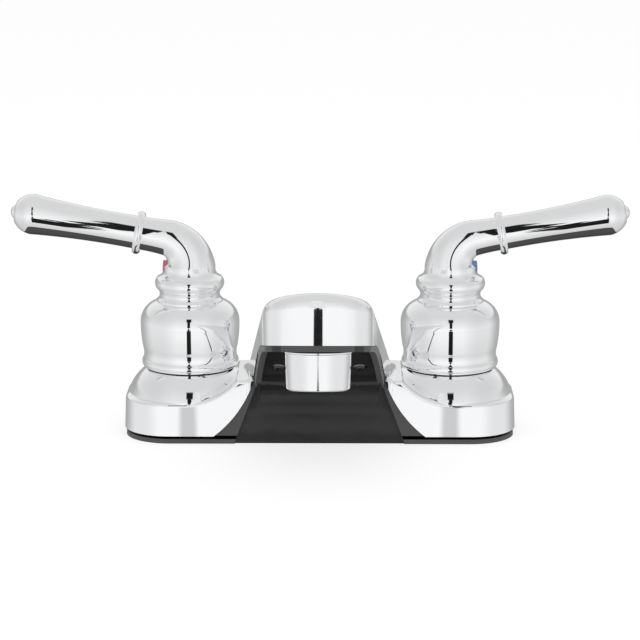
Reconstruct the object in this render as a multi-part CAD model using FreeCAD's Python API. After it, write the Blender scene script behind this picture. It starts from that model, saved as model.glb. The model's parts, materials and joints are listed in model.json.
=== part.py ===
"""Two-handle bathroom faucet on a 4-inch centreset base.

A chrome-plated shell carries a low wide spout towards the user, over a black
moulded underbody. Two bell handles with lever arms turn a quarter turn each.

Frame: millimetres, X to the right, -Y towards the user, +Z up. The origin is on
the deck, midway between the two valves.
"""
import FreeCAD, Part
import math
import os

V = FreeCAD.Vector
UP = V(0, 0, 1)

# Base
valve_spacing = 101.6
base_end = 25.4
base_depth = 50.0
base_corner = 18.0
wall_draft_deg = 2.0
rim_height = 3.0
rim_inset = 0.7
shoulder_height = 15.8
platform_height = 25.0
saddle_radius = 27.0
saddle_start = 52.0
platform_back = 10.0
shell_wall = 2.0
ledge_fillet = 1.5

# Collars under the handles
collar_radius = 17.5
collar_margin = 1.1
collar_bulge = 0.9

# Spout
spout_reach = 95.0
spout_tip_half_width = 20.6
outlet_back = 19.6
spout_front_radius = 38.0
spout_corner_radius = 11.0
spout_splay_deg = 5.5
spout_back = 22.0
spout_root_top = 32.7
spout_rise_deg = 24.4
tail_start = 3.0
tail_fall_deg = 40.0
tail_fillet = 9.0
crown_radius = 100.0
crown_fillet = 4.7
tip_depth = 20.6
tip_edge_tilt_deg = 12.5
root_edge_height = 25.0
root_edge_slope_deg = 33.0
opening_half_width = 40.8
opening_top_half_width = 25.1
opening_top = 25.6
opening_bow = 2.2
corner_fillet = 3.0

# Underbody
plate_thickness = 2.5
lip_height = 3.0
lip_thickness = 1.4
lip_clearance = 0.15
band_depth = 2.4
panel_wall = 2.2
panel_recess = 4.4
panel_foot_recess = 0.8
panel_inset = 2.9
panel_foot_half_width = 33.1
panel_top_half_width = 23.2
panel_bow = 0.4
screw_spread = 31.0
screw_reach = 33.0
screw_head_radius = 2.7
screw_radius = 1.4
screw_boss_radius = 3.3
screw_length = 7.5

# Aerator
aerator_top_radius = 12.45
aerator_bottom_radius = 11.55
aerator_height = 14.6
aerator_tilt_deg = 8.5
aerator_drop = 5.8
nipple_radius = 10.4
nipple_bore = 8.2
nipple_length = 7.0
nipple_root = 6.4
washer_thickness = 1.6
outlet_radius = 9.6

# Valves
shank_radius = 10.45
shank_length = 52.0
shank_bore = 6.25
shank_relief_depth = 0.8
shank_relief_width = 1.2
flange_radius = 16.0
flange_thickness = 3.0
barrel_radius = 13.4
barrel_height = 24.0
barrel_nose_radius = 12.0
barrel_nose_height = 29.5
cartridge_bore = 9.1
cartridge_seat_height = 8.0
cartridge_cup_height = 17.6
cartridge_flange = 1.1
cartridge_neck_radius = 6.4
cartridge_neck_rise = 2.4
seal_thickness = 1.5
seal_bore = 3.6
disc_radius = 7.5
disc_thickness = 2.9
disc_gap = 0.1
port_radius = 2.2
port_place = 4.0
stem_radius = 4.2
stem_grip_radius = 4.0
bore_fit = 0.05
running_fit = 0.08
tube_height = 15.6
tube_radius = 4.0
tube_bore = 2.2
tube_insert = 4.8
seal_section = 0.5
tee_half_length = 9.0
tee_radius = 6.6
spout_tube_radius = 3.2
spout_tube_bore = 2.0
spout_tube_bend = 6.0
nut_flats = 27.0
nut_flange_radius = 15.8
nut_flange_thickness = 1.5
nut_cap = 2.0

# Fixing below the deck
deck_thickness = 20.0
mount_washer_radius = 18.0
mount_washer_thickness = 2.0
mount_nut_radius = 15.0
mount_nut_height = 11.0
wing_span = 46.0
wing_thickness = 3.0
thread_fit = 0.05

# Handles
handle_gap = 0.8
bell_wall = 1.6
bell_radius = 19.3
bell_foot_radius = 18.9
bell_waist_radius = 18.1
neck_radius = 11.7
ring_radius = 13.5
foot_top = 3.4
waist_top = 7.8
side_top = 16.8
dome_height = 22.9
shoulder_top = 25.6
bead_top = 27.0
neck_top = 29.8
ring_bottom = 30.4
ring_top = 35.0
collar_top = 38.0
throat_radius = 10.1
throat_height = 65.4
bend_radius = 11.0
lever_rise_deg = 10.0
lever_ring_radius = 8.4
lever_ring_width = 2.9
lever_ring_place = 10.6
lever_radius = 6.45
lever_length = 50.2
knob_radius = 7.9
knob_place = 41.5
nipple_flat = 0.5
bell_ceiling = 46.0
boss_radius = 7.6
boss_gap = 2.0
stem_top = 71.0
button_radius = 2.9
button_height = 64.4
button_proud = 0.4
button_dome_radius = 11.6
button_thickness = 1.8
set_screw_radius = 2.0
hex_socket = 1.0

valve_x = valve_spacing / 2
base_length = valve_spacing + 2 * base_end
collar_foot_radius = base_end - collar_margin
splay = math.radians(spout_splay_deg)
rise = math.radians(spout_rise_deg)
outlet_y = -spout_reach + outlet_back
tip_edge_height = spout_root_top + spout_reach * math.tan(rise) - tip_depth
aerator_seat_height = tip_edge_height - aerator_drop
nut_top = barrel_nose_height + cartridge_flange + nut_cap
cartridge_neck_height = nut_top + cartridge_neck_rise
boss_bottom = cartridge_neck_height + boss_gap
handle_bottom = platform_height + handle_gap


def face(edges):
    """A flat face inside one closed loop of edges."""
    return Part.Face(Part.Wire(Part.__sortEdges__(edges)))


def line(start, end):
    return Part.LineSegment(start, end).toShape()


def arc(start, middle, end):
    return Part.Arc(start, middle, end).toShape()


def polygon(points):
    return Part.Face(Part.makePolygon(points + [points[0]]))


def prism(shape, direction):
    return shape.extrude(direction)


def revolved(points, bulges=None):
    """Turn an (r, z) outline round the Z axis. A bulge bows the side that starts at that point."""
    bulges = bulges or {}
    edges = []
    for index, (r, z) in enumerate(points):
        r_next, z_next = points[(index + 1) % len(points)]
        start = V(r, 0, z)
        end = V(r_next, 0, z_next)
        bulge = bulges.get(index)
        if bulge:
            run = end - start
            normal = V(run.z, 0, -run.x).normalize()
            edges.append(arc(start, (start + end) * 0.5 + normal * bulge, end))
        else:
            edges.append(line(start, end))
    return Part.Face(Part.Wire(edges)).revolve(V(0, 0, 0), UP, 360)


def tube(outer, inner, bottom, top):
    ring = Part.makeCylinder(outer, top - bottom, V(0, 0, bottom))
    return ring.cut(Part.makeCylinder(inner, top - bottom, V(0, 0, bottom)))


def o_ring(major, minor, centre, axis):
    return Part.makeTorus(major, minor, centre, axis)


def rounded_rectangle(length, depth, corner, z):
    """A wire of four straight sides and four corner arcs at height z."""
    x = length / 2
    y = depth / 2
    bow = corner * (1 - math.sqrt(0.5))
    corners = []
    for sx, sy, turn in ((1, -1, 1), (1, 1, -1), (-1, 1, 1), (-1, -1, -1)):
        along_x = V(sx * (x - corner), sy * y, z)
        along_y = V(sx * x, sy * (y - corner), z)
        middle = V(sx * (x - bow), sy * (y - bow), z)
        ends = (along_x, along_y) if turn > 0 else (along_y, along_x)
        corners.append((ends[0], middle, ends[1]))
    edges = []
    for this, following in zip(corners, corners[1:] + corners[:1]):
        edges.append(arc(this[0], this[1], this[2]))
        edges.append(line(this[2], following[0]))
    return Part.Wire(edges)


def wall_lean(inset, z):
    """How far the drafted wall stands inside the base's outline at the height z."""
    return inset + (z - rim_height) * math.tan(math.radians(wall_draft_deg))


def base_block(inset, bottom, top):
    """The drafted wall of the base, from the height bottom to the height top."""
    wires = []
    for z in (bottom, top):
        lean = wall_lean(inset, z)
        wires.append(rounded_rectangle(base_length - 2 * lean, base_depth - 2 * lean,
                                       base_corner - lean, z))
    return Part.makeLoft(wires, True, True)


def saddle(inset):
    """Height of the base along X: low round the valves, arcs up to the platform by the spout."""
    low = shoulder_height - inset
    high = platform_height - inset
    radius = saddle_radius + inset
    turn = math.acos(1 - (high - low) / radius)
    inner = saddle_start - radius * math.sin(turn)
    middle_x = saddle_start - radius * math.sin(turn / 2)
    middle_z = low + radius * (1 - math.cos(turn / 2))
    y = -base_depth
    far = base_length
    edges = [line(V(-far, y, -far), V(far, y, -far)),
             line(V(far, y, -far), V(far, y, low)),
             line(V(far, y, low), V(saddle_start, y, low)),
             arc(V(saddle_start, y, low), V(middle_x, y, middle_z), V(inner, y, high)),
             line(V(inner, y, high), V(-inner, y, high)),
             arc(V(-inner, y, high), V(-middle_x, y, middle_z), V(-saddle_start, y, low)),
             line(V(-saddle_start, y, low), V(-far, y, low)),
             line(V(-far, y, low), V(-far, y, -far))]
    return prism(Part.Face(Part.Wire(edges)), V(0, 2 * base_depth, 0))


def back_slope(inset):
    """The base falls from the platform to the shoulder behind the spout."""
    high = platform_height - inset
    low = shoulder_height - inset
    back = base_depth / 2 - wall_lean(inset, low)
    start = platform_back - inset
    far = base_length
    points = [V(-far, -far, -far), V(-far, -far, far), V(-far, start, far),
              V(-far, start, high), V(-far, back, low), V(-far, far, low), V(-far, far, -far)]
    return prism(polygon(points), V(2 * far, 0, 0))


def collar_cone(inset, bottom):
    """The bowed cone that rises to the seat of one handle, about the Z axis."""
    top = platform_height - inset
    return revolved([(0, bottom), (collar_foot_radius - inset, bottom),
                     (collar_foot_radius - inset, shoulder_height - inset),
                     (collar_radius - inset, top), (0, top)],
                    {2: collar_bulge})


def spout_plan(inset):
    """Seen from above: splayed sides, round corners and a nose with a gentle bow."""
    outward = V(math.cos(splay), -math.sin(splay), 0)
    forward = V(-math.sin(splay), -math.cos(splay), 0)
    bow_centre = V(0, -spout_reach + spout_front_radius, 0)
    reach = spout_front_radius - spout_corner_radius
    side_line = V(0, outlet_y, 0).dot(outward) + spout_tip_half_width - spout_corner_radius
    off_line = side_line - bow_centre.dot(outward)
    corner = bow_centre + outward * off_line + forward * math.sqrt(reach ** 2 - off_line ** 2)
    corner_radius = spout_corner_radius - inset
    touch_side = corner + outward * corner_radius
    touch_front = corner + (corner - bow_centre).normalize() * corner_radius
    middle_way = ((touch_side - corner).normalize() + (touch_front - corner).normalize()).normalize()
    corner_middle = corner + middle_way * corner_radius
    back = spout_back - inset
    back_x = touch_side.x + (back - touch_side.y) * math.tan(splay)

    def left(point):
        return V(-point.x, point.y, 0)

    edges = [line(V(-back_x, back, 0), left(touch_side)),
             arc(left(touch_side), left(corner_middle), left(touch_front)),
             arc(left(touch_front), V(0, -spout_reach + inset, 0), touch_front),
             arc(touch_front, corner_middle, touch_side),
             line(touch_side, V(back_x, back, 0)),
             line(V(back_x, back, 0), V(-back_x, back, 0))]
    return Part.Face(Part.Wire(edges))


def crown(inset, slope, height, at_y):
    """A long bar with a bowed top, sloped along the spout, at the given height over at_y."""
    drop = inset / math.cos(slope)
    half = base_depth
    start_y = base_depth if slope > 0 else -2 * spout_reach
    top = height - (start_y - at_y) * math.tan(slope) - drop
    sag = crown_radius - math.sqrt(crown_radius ** 2 - half ** 2)
    left = V(-half, start_y, top - sag)
    right = V(half, start_y, top - sag)
    low_left = V(-half, start_y, top - 2 * base_length)
    low_right = V(half, start_y, top - 2 * base_length)
    edges = [line(low_left, low_right), line(low_right, right),
             arc(right, V(0, start_y, top), left), line(left, low_left)]
    run = 4 * spout_reach
    return prism(Part.Face(Part.Wire(edges)), V(0, -run, run * math.tan(slope)))


def spout_body(inset, bottom):
    """The spout as a full block with its rounded crown."""
    height = 2 * base_length
    block = prism(spout_plan(inset).translated(V(0, 0, bottom)), V(0, 0, height))
    block = block.common(crown(inset, rise, spout_root_top, 0))
    tail_height = spout_root_top - tail_start * math.tan(rise)
    block = block.common(crown(inset, math.radians(tail_fall_deg), tail_height, tail_start))
    across = [edge for edge in block.Edges
              if edge.BoundBox.ZMin > bottom + 1 and edge.BoundBox.YLength < 4
              and abs(edge.CenterOfMass.y - tail_start) < 5 and edge.BoundBox.XLength > 20]
    block = block.makeFillet(tail_fillet - inset, across)
    top_edges = []
    for edge in block.Edges:
        box = edge.BoundBox
        on_top = box.ZMin > bottom + 1
        behind = box.YMin > spout_back - inset - 0.01
        if on_top and not behind and not is_vertical(edge):
            top_edges.append(edge)
    return block.makeFillet(crown_fillet - inset, top_edges)


def is_vertical(edge):
    box = edge.BoundBox
    return box.XLength < 0.01 and box.YLength < 0.01


def body_form(inset, bottom, top_fillet=False):
    """The whole outer form of the base and spout, moved inwards by inset."""
    wing = base_block(inset, bottom, platform_height + 2).common(saddle(inset))
    if top_fillet:
        wing = wing.makeFillet(ledge_fillet, wing_ridge(wing))
    wing = wing.common(back_slope(inset))
    form = wing.fuse(spout_body(inset, bottom))
    for side in (-1, 1):
        form = form.fuse(collar_cone(inset, bottom).translated(V(side * valve_x, 0, 0)))
    return form.removeSplitter()


def wing_ridge(wing):
    """The edges where the drafted wall meets the saddle, all the way round."""
    ridge = []
    for edge in wing.Edges:
        box = edge.BoundBox
        along_wall = False
        for vertex in (edge.valueAt(edge.FirstParameter),
                       edge.valueAt((edge.FirstParameter + edge.LastParameter) / 2),
                       edge.valueAt(edge.LastParameter)):
            along_wall = vertex.z > shoulder_height - 0.5
            if not along_wall:
                break
        middle = edge.valueAt((edge.FirstParameter + edge.LastParameter) / 2)
        near_side = abs(middle.y) > base_depth / 2 - 1.5 or abs(middle.x) > base_length / 2 - 6.5
        if along_wall and near_side and not is_vertical(edge) and box.ZMax < platform_height + 1:
            ridge.append(edge)
    return ridge


def edge_curve(offset):
    """Side view of the lower edge of the spout, moved down and forward by offset."""
    tilt = math.radians(tip_edge_tilt_deg)
    slope = math.radians(root_edge_slope_deg)
    tip = V(0, -spout_reach - 5, tip_edge_height + 5 * math.tan(tilt))
    bend = V(0, outlet_y, tip_edge_height - outlet_back * math.tan(tilt))
    root = V(0, -base_depth / 2, root_edge_height)
    reach = (root - bend).Length / 3
    control = [bend, bend + V(0, math.cos(tilt), -math.sin(tilt)) * reach,
               root - V(0, math.cos(slope), -math.sin(slope)) * reach, root]
    curve = Part.BezierCurve()
    curve.setPoles([point + V(0, -math.sin(slope), -math.cos(slope)) * offset for point in control])
    bend_edge = curve.toShape()
    start = bend_edge.valueAt(bend_edge.FirstParameter)
    tip = start + (tip - bend)
    return [line(tip, start), bend_edge]


def below_edge(offset, foot_y):
    """Everything under the lower edge of the spout and ahead of foot_y."""
    edges = edge_curve(offset)
    tip = edges[0].valueAt(edges[0].FirstParameter)
    root = edges[-1].valueAt(edges[-1].LastParameter)
    half = base_length
    low = -base_depth
    foot = V(0, foot_y, root.z - (foot_y - root.y) * math.tan(math.radians(root_edge_slope_deg)))
    ahead = V(0, tip.y - 10, tip.z)
    outline = [line(V(0, ahead.y, low), ahead), line(ahead, tip)] + edges
    if (foot - root).Length > 0.01:
        outline.append(line(root, foot))
    outline += [line(foot, V(0, foot.y, low)), line(V(0, foot.y, low), V(0, ahead.y, low))]
    section = Part.Face(Part.Wire(outline)).translated(V(-half, 0, 0))
    return prism(section, V(2 * half, 0, 0))


def front_opening(half_foot, half_top, foot_z, top_z, bow):
    """The mouth in the front wall: wide at the deck, bowed in towards the spout."""
    y = -base_depth
    depth = base_depth / 2 + shell_wall + 1.0
    edges = []
    for side in (1, -1):
        foot = V(side * half_foot, y, foot_z)
        top = V(side * half_top, y, top_z)
        run = (top - foot).normalize()
        inward = V(-abs(run.z) * side, 0, -abs(run.x))
        edges.append(arc(foot, (foot + top) * 0.5 + inward * bow, top))
    edges.append(line(V(half_top, y, top_z), V(-half_top, y, top_z)))
    edges.append(line(V(-half_foot, y, foot_z), V(half_foot, y, foot_z)))
    return prism(face(edges), V(0, depth, 0))


def panel_curve(offset):
    """Side view of the panel under the spout: upright at the deck, then forward to the tip."""
    tilt = math.radians(tip_edge_tilt_deg)
    slope = math.radians(root_edge_slope_deg)
    foot = V(0, -base_depth / 2 + rim_inset + panel_foot_recess, -1)
    root = V(0, -base_depth / 2, root_edge_height) + V(0, math.sin(slope), math.cos(slope)) * (
        panel_recess - band_depth)
    bend = V(0, outlet_y, tip_edge_height - outlet_back * math.tan(tilt)) + V(
        0, math.sin(tilt), math.cos(tilt)) * (panel_recess - band_depth)
    tip = V(0, -spout_reach + rim_inset, bend.z + (bend.y + spout_reach - rim_inset) * math.tan(tilt))
    lower = Part.BezierCurve()
    lower.setPoles([foot + V(0, offset, 0), foot + V(0, offset, root_edge_height * 0.55),
                    root + V(0, math.cos(slope), -math.sin(slope)) * root_edge_height * 0.3
                    + V(0, math.sin(slope), math.cos(slope)) * offset,
                    root + V(0, math.sin(slope), math.cos(slope)) * offset])
    reach = (root - bend).Length / 3
    upper = Part.BezierCurve()
    shift = V(0, math.sin(slope), math.cos(slope)) * offset
    lift = V(0, math.sin(tilt), math.cos(tilt)) * offset
    upper.setPoles([root + shift, root + shift - V(0, math.cos(slope), -math.sin(slope)) * reach,
                    bend + lift + V(0, math.cos(tilt), -math.sin(tilt)) * reach, bend + lift])
    return [lower.toShape(), upper.toShape(), line(bend + lift, tip + lift)]


def ahead_of_panel(offset):
    """Everything below and ahead of the panel's curve."""
    edges = panel_curve(offset)
    foot = edges[0].valueAt(edges[0].FirstParameter)
    tip = edges[-1].valueAt(edges[-1].LastParameter)
    half = base_length
    ahead = V(0, -spout_reach - 20, tip.z)
    outline = edges + [line(tip, ahead), line(ahead, V(0, ahead.y, foot.z)),
                       line(V(0, ahead.y, foot.z), foot)]
    section = Part.Face(Part.Wire(outline)).translated(V(-half, 0, 0))
    return prism(section, V(2 * half, 0, 0))


def mouth():
    """What the chrome shell leaves open at the front for the underbody."""
    opening = front_opening(opening_half_width, opening_top_half_width,
                            rim_height - 0.001, opening_top, opening_bow)
    return opening.fuse(below_edge(0, -base_depth / 2))


def tilted(shape):
    """Place a shape made below the origin on the tilted axis of the outlet."""
    shape = shape.copy()
    shape.rotate(V(0, 0, 0), V(1, 0, 0), -aerator_tilt_deg)
    shape.translate(V(0, outlet_y, aerator_seat_height))
    return shape


def spout_shell():
    """Chrome-plated shell: base wall, collars and spout in one thin piece, open below."""
    outer = body_form(0, rim_height, True)
    corner_edges = []
    for edge in outer.Edges:
        middle = edge.valueAt((edge.FirstParameter + edge.LastParameter) / 2)
        upright = edge.BoundBox.ZLength > 10 and edge.BoundBox.YLength < 3
        if upright and abs(abs(middle.x) - 24) < 4 and middle.y < -base_depth / 2 + 3:
            corner_edges.append(edge)
    outer = outer.makeFillet(corner_fillet, corner_edges)
    shell = outer.cut(body_form(shell_wall, rim_height - 1)).cut(mouth())
    cavity = body_form(shell_wall - 0.3, rim_height - 1)
    for side in (-1, 1):
        hole = Part.makeCylinder(barrel_radius + 0.3, platform_height, V(side * valve_x, 0, 4))
        shell = shell.cut(hole)
        boss = screw_axis_cylinder(side, screw_boss_radius, panel_wall + 0.3, 30)
        shell = shell.fuse(boss.common(cavity).cut(ahead_of_panel(panel_wall + 0.3)))
        shell = shell.cut(screw_axis_cylinder(side, screw_radius - 0.1, -5, screw_length + 0.5))
    return shell


def screw_seat(side):
    """Where a shell screw's head sits on the panel, and the way its shank points."""
    slope = math.radians(root_edge_slope_deg)
    curve = panel_curve(0)[1]
    best = None
    steps = 60
    for step in range(steps + 1):
        share = step / steps
        at = curve.FirstParameter + share * (curve.LastParameter - curve.FirstParameter)
        point = curve.valueAt(at)
        miss = abs(point.y + screw_reach)
        if best is None or miss < best[0]:
            best = (miss, point)
    seat = best[1] + V(side * screw_spread / 2, 0, 0)
    return seat, V(0, math.sin(slope), math.cos(slope))


def screw_axis_cylinder(side, radius, start, end):
    seat, way = screw_seat(side)
    return Part.makeCylinder(radius, end - start, seat + way * start, way)


def underbody():
    """Black moulding: base plate, visible band and the recessed panel under the spout."""
    full = body_form(rim_inset, 0)
    inner = body_form(shell_wall + lip_clearance, 0)
    rim = base_block(rim_inset, 0, rim_height)
    rim = rim.cut(base_block(rim_inset + 4.0, plate_thickness, rim_height))
    lip = base_block(shell_wall + lip_clearance, rim_height - 0.5, rim_height + lip_height)
    lip_inner = shell_wall + lip_clearance + lip_thickness
    lip = lip.cut(base_block(lip_inner, rim_height - 1, rim_height + lip_height + 1))
    front = full.common(mouth()).fuse(inner)
    front = front.common(ahead_of_panel(panel_wall))
    front = front.cut(below_edge(band_depth, -base_depth / 2 + rim_inset))
    sides = prism(spout_plan(panel_inset).translated(V(0, 0, -5)), V(0, 0, 90))
    foot = front_opening(panel_foot_half_width, panel_top_half_width, -1, opening_top, panel_bow)
    recess = sides.common(ahead_of_panel(0)).fuse(foot.common(ahead_of_panel(0)))
    body = rim.fuse(lip).fuse(front).cut(recess)
    for side in (-1, 1):
        body = body.cut(Part.makeCylinder(shank_radius + 0.4, 20, V(side * valve_x, 0, -5)))
        body = body.cut(screw_axis_cylinder(side, screw_radius + 0.2, -5, 5))
        body = body.cut(screw_axis_cylinder(side, screw_head_radius + 0.2, -5, 0))
    nipple_hole = Part.makeCylinder(nipple_radius + 0.4, 20, V(0, 0, -10))
    return body.cut(tilted(nipple_hole))


def shell_screws():
    """Two domed screws that hold the shell to the underbody, one each side of the outlet."""
    screws = []
    for side in (-1, 1):
        seat, way = screw_seat(side)
        head = Part.makeSphere(screw_head_radius * 1.25, V(0, 0, screw_head_radius * 0.75))
        head = head.common(Part.makeCylinder(screw_head_radius, 3, V(0, 0, -3)))
        slot = Part.makeBox(1.0, 3.4, 1.4, V(-0.5, -1.7, -2.2))
        cross = Part.makeBox(3.4, 1.0, 1.4, V(-1.7, -0.5, -2.2))
        screw = head.cut(slot).cut(cross).fuse(Part.makeCylinder(screw_radius - 0.12, screw_length))
        screw.rotate(V(0, 0, 0), V(1, 0, 0), -math.degrees(math.atan2(way.y, way.z)))
        screw.translate(seat)
        screws.append(screw)
    return Part.makeCompound(screws)


def valve_body():
    """Hot side: threaded shank, flange on the base plate and the barrel for the cartridge."""
    relief_top = -deck_thickness - mount_washer_thickness - mount_nut_height - 2.0
    relief_low = relief_top - shank_relief_width
    relief_radius = shank_radius - shank_relief_depth
    flange_top = plate_thickness + flange_thickness
    body = revolved([
        (shank_bore, -shank_length), (shank_radius - 1.0, -shank_length),
        (shank_radius, -shank_length + 1.0), (shank_radius, relief_low),
        (relief_radius, relief_low), (relief_radius, relief_top),
        (shank_radius, relief_top), (shank_radius, plate_thickness),
        (flange_radius, plate_thickness), (flange_radius, flange_top),
        (barrel_radius, flange_top), (barrel_radius, barrel_height),
        (barrel_nose_radius, barrel_height), (barrel_nose_radius, barrel_nose_height),
        (cartridge_bore, barrel_nose_height), (cartridge_bore, cartridge_seat_height),
        (shank_bore, cartridge_seat_height)])
    body.translate(V(-valve_x, 0, 0))
    port = Part.makeCylinder(tube_radius + bore_fit, tee_half_length * 2,
                             V(-valve_x + cartridge_bore - 1.0, 0, tube_height), V(1, 0, 0))
    return body.cut(port)


def feed_tube():
    """Hot side: the tube from the barrel to the tee, with a groove for a seal near each end."""
    start = -valve_x + cartridge_bore + 0.4
    end = -tee_half_length + tube_insert
    along = V(1, 0, 0)
    body = Part.makeCylinder(tube_radius, end - start, V(start, 0, tube_height), along)
    body = body.cut(Part.makeCylinder(tube_bore, end - start, V(start, 0, tube_height), along))
    for x in seal_places():
        groove_start = V(x - seal_section, 0, tube_height)
        groove = Part.makeCylinder(tube_radius + 1, 2 * seal_section, groove_start, along)
        floor = Part.makeCylinder(tube_radius - 2 * seal_section, 2 * seal_section, groove_start, along)
        body = body.cut(groove.cut(floor))
    return body


def seal_places():
    """Where the feed tube's two seals lie along X, on the hot side."""
    return (-valve_x + (cartridge_bore + barrel_radius) / 2, -tee_half_length + tube_insert / 2)


def feed_seals():
    rings = [o_ring(tube_radius - seal_section, seal_section, V(x, 0, tube_height), V(1, 0, 0))
             for x in seal_places()]
    return Part.makeCompound(rings)


def duct_path():
    """Centre line of the spout's water way: up from the tee, along the rise, down to the outlet."""
    tilt = math.radians(aerator_tilt_deg)
    clear = shell_wall + 0.6 + spout_tube_radius / math.cos(rise)
    level = spout_root_top - clear
    seat = V(0, outlet_y, aerator_seat_height)
    down = V(0, -math.sin(tilt), -math.cos(tilt))
    climb = (level - outlet_y * math.tan(rise) - seat.z) / (math.cos(tilt) + math.sin(tilt) * math.tan(rise))
    top = seat - down * climb
    foot = V(0, 0, tube_height)
    knee = V(0, 0, level)
    end = seat + down * spout_tube_bore
    return bent_path([foot, knee, top, end], spout_tube_bend)


def bent_path(points, radius):
    """Straight runs joined by tangent arcs. Each arc is limited by its shorter run."""
    edges = []
    start = points[0]
    for before, corner, after in zip(points, points[1:], points[2:]):
        into = (corner - before).normalize()
        out = (after - corner).normalize()
        half_turn = into.getAngle(out) / 2
        room = 0.45 * min((corner - before).Length, (after - corner).Length)
        back = min(radius * math.tan(half_turn), room)
        bend = back / math.tan(half_turn)
        arc_start = corner - into * back
        arc_end = corner + out * back
        centre_way = (out - into).normalize()
        middle = corner + centre_way * (bend / math.cos(half_turn) - bend)
        edges.append(line(start, arc_start))
        edges.append(arc(arc_start, middle, arc_end))
        start = arc_end
    edges.append(line(start, points[-1]))
    return Part.Wire(edges)


def swept_rod(path, radius):
    """A round rod along a path of lines and arcs, made of cylinders and pieces of torus."""
    rod = None
    for edge in path.Edges:
        start = edge.valueAt(edge.FirstParameter)
        end = edge.valueAt(edge.LastParameter)
        heading = edge.tangentAt(edge.FirstParameter)
        if edge.Curve.TypeId == "Part::GeomLine":
            piece = Part.makeCylinder(radius, edge.Length, start, heading)
        else:
            centre = edge.Curve.Center
            axis = (start - centre).cross(heading).normalize()
            turn = math.degrees((start - centre).getAngle(end - centre))
            section = Part.Face(Part.Wire(Part.makeCircle(radius, start, heading)))
            piece = section.revolve(centre, axis, turn)
        rod = piece if rod is None else rod.fuse(piece)
    return rod.removeSplitter()


def spout_waterway():
    """Tee, duct and threaded outlet nipple in one moulding inside the spout."""
    roof = 2.0
    along = V(1, 0, 0)
    body = Part.makeCylinder(tee_radius, 2 * tee_half_length, V(-tee_half_length, 0, tube_height), along)
    body = body.fuse(swept_rod(duct_path(), spout_tube_radius))
    nipple = Part.makeCylinder(nipple_radius, nipple_length + nipple_root, V(0, 0, -nipple_length))
    body = body.fuse(tilted(nipple))
    for side in (-1, 1):
        socket = Part.makeCylinder(tube_radius + bore_fit, tube_insert,
                                   V(side * tee_half_length, 0, tube_height), V(-side, 0, 0))
        body = body.cut(socket)
    cross_start = V(-tee_half_length, 0, tube_height)
    cross_bore = Part.makeCylinder(tube_bore, 2 * tee_half_length, cross_start, along)
    body = body.cut(cross_bore)
    chamber = Part.makeCylinder(nipple_bore, nipple_length + nipple_root - roof, V(0, 0, -nipple_length))
    body = body.cut(tilted(chamber))
    return body.cut(swept_rod(duct_path(), spout_tube_bore)).removeSplitter()


def aerator_housing():
    """Tapered chrome sleeve screwed on the nipple, with a bead near its top."""
    thread = nipple_radius + thread_fit
    seat = -nipple_length - washer_thickness
    bead = 0.25
    lip = 0.8
    slope = (aerator_top_radius - aerator_bottom_radius) / aerator_height
    body = revolved([
        (thread, 0), (aerator_top_radius - lip / 2, 0), (aerator_top_radius, -lip),
        (aerator_top_radius - bead, -lip - 0.5),
        (aerator_bottom_radius + slope * lip, -aerator_height + lip),
        (aerator_bottom_radius - lip / 2, -aerator_height),
        (outlet_radius, -aerator_height), (outlet_radius, seat),
        (thread, seat)])
    return tilted(body)


def aerator_washer():
    return tilted(tube(nipple_radius, nipple_bore, -nipple_length - washer_thickness, -nipple_length))


def aerator_insert():
    """Flow straightener: a flanged white cup with rings of round holes."""
    rim = tube(outlet_radius - bore_fit, outlet_radius - 1.2, -aerator_height + 1.0,
               -nipple_length - washer_thickness)
    plate = Part.makeCylinder(outlet_radius - 1.0, 2.0, V(0, 0, -aerator_height + 1.6))
    hole = 0.9
    for count, radius in ((1, 0.0), (6, 2.7), (12, 5.4)):
        for index in range(count):
            turn = 2 * math.pi * index / count
            plate = plate.cut(Part.makeCylinder(
                hole, 6, V(radius * math.cos(turn), radius * math.sin(turn), -aerator_height)))
    return tilted(rim.fuse(plate))


def cartridge_body():
    """Hot side: cup for the discs, neck for the stem and a flange held by the bonnet nut."""
    cup = disc_radius + 0.1
    stem_hole = stem_radius + running_fit
    bottom = cartridge_seat_height + seal_thickness
    flange_top = barrel_nose_height + cartridge_flange
    outer = cartridge_bore - bore_fit
    body = revolved([
        (cup, bottom), (outer, bottom), (outer, barrel_nose_height),
        (barrel_nose_radius - 0.4, barrel_nose_height), (barrel_nose_radius - 0.4, flange_top),
        (cartridge_neck_radius, flange_top), (cartridge_neck_radius, cartridge_neck_height),
        (stem_hole, cartridge_neck_height), (stem_hole, cartridge_cup_height),
        (cup, cartridge_cup_height)])
    window = Part.makeBox(4 * cartridge_bore, 6.0, 4.0,
                          V(-2 * cartridge_bore, -3.0, tube_height - 2.0))
    body = body.cut(window)
    return body.translated(V(-valve_x, 0, 0))


def disc(bottom, phase):
    """A ceramic disc with two ports opposite each other."""
    body = Part.makeCylinder(disc_radius, disc_thickness, V(0, 0, bottom))
    for half in (0, math.pi):
        x = port_place * math.cos(phase + half)
        y = port_place * math.sin(phase + half)
        body = body.cut(Part.makeCylinder(port_radius, disc_thickness, V(x, y, bottom)))
    return body.translated(V(-valve_x, 0, 0))


def fixed_disc_bottom():
    return cartridge_seat_height + seal_thickness


def moving_disc_bottom():
    return fixed_disc_bottom() + disc_thickness + disc_gap


def seat_seal():
    ring = tube(disc_radius, seal_bore + 2.8, cartridge_seat_height, fixed_disc_bottom())
    return ring.translated(V(-valve_x, 0, 0))


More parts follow.
